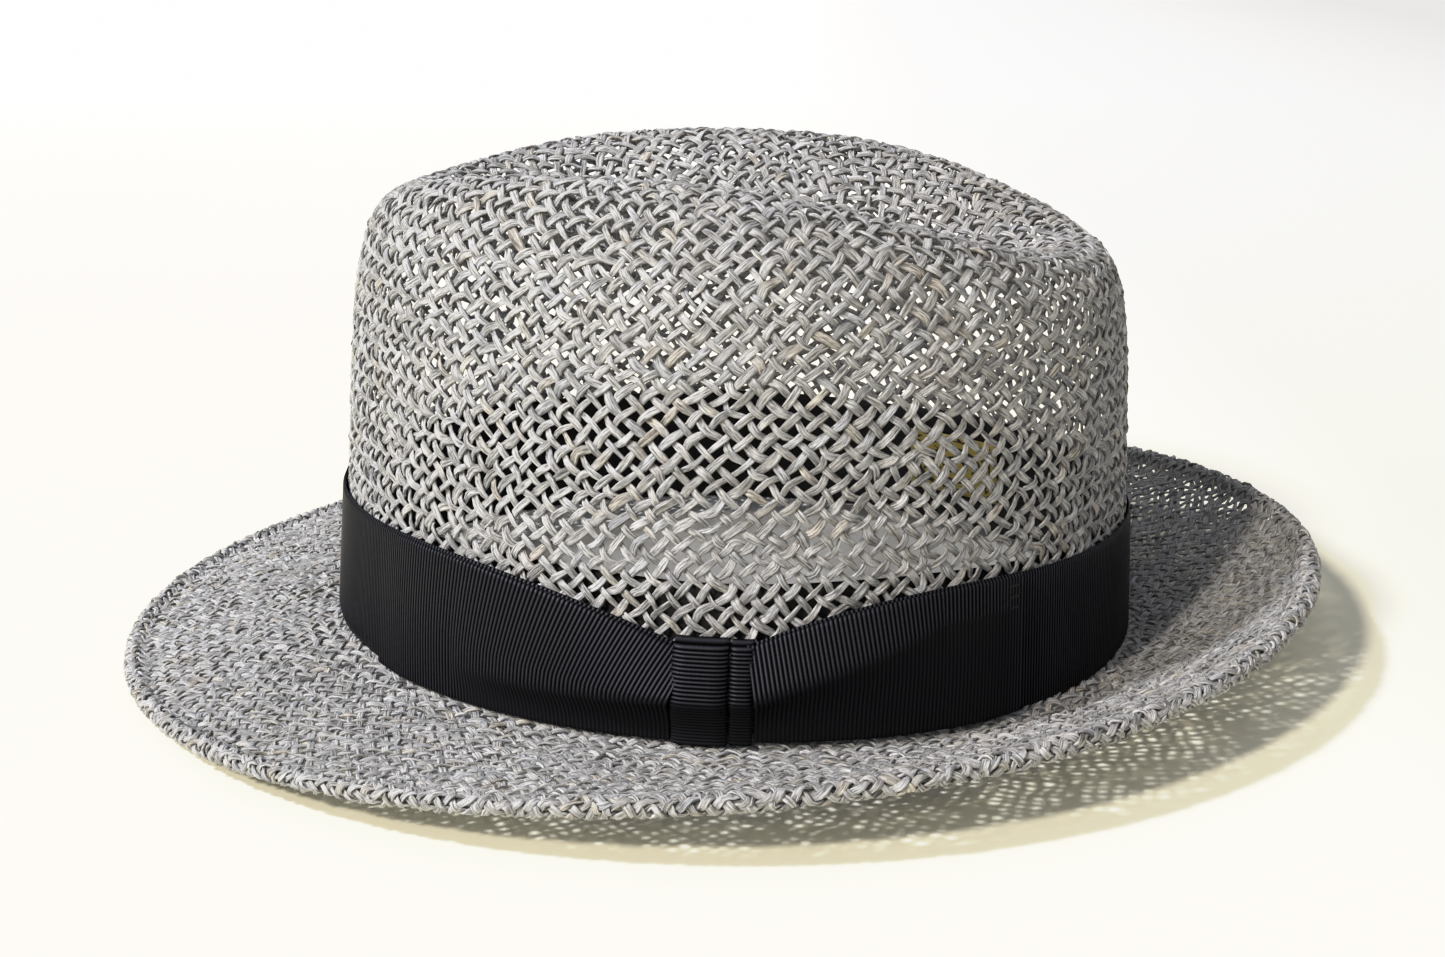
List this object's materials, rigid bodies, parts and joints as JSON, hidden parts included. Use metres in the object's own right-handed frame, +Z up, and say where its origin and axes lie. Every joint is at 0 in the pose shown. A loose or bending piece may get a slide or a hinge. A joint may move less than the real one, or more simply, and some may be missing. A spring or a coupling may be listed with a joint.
{
  "type": "fedora hat",
  "caption": "Open-weave straw fedora with a creased, pinched crown, a brim snapped down in front and turned up behind, and a dark ribbed ribbon with a flat side bow",
  "frame": {"origin": "centre of the hat's bounding box, on the flat surface that it stands on", "axes": "+X towards the back of the hat, -X the front, -Y the wearer's left with the bow, +Z up; the head opening faces down"},
  "size_m": [0.3062, 0.284, 0.122],
  "materials": {
    "straw": "dyed grey straw-like strands in an open diagonal plain weave, matt with fine lengthwise fibres",
    "straw_edge": "the same strands rolled and bound into a thick edge",
    "wire": "thin shape wire hidden in the rolled edge",
    "ribbon": "black ribbed grosgrain ribbon with a slight sheen",
    "thread": "black sewing thread",
    "sweatband_cloth": "black woven cotton band",
    "label": "plain gold-coloured label with a border and no lettering"
  },
  "bodies": {
    "root": {"crown_tip": "straw", "crown_side": "straw", "brim": "straw", "brim_edge": "straw_edge", "brim_wire": "wire", "hat_band": "ribbon", "bow_front_loop": "ribbon", "bow_back_loop": "ribbon", "bow_knot_wrap": "ribbon", "bow_knot_strip": "ribbon", "ribbon_tacks": "thread", "sweatband": "sweatband_cloth", "sweatband_join_tape": "sweatband_cloth", "sweatband_stitching": "thread", "maker_label": "label"}
  },
  "joints": []
}
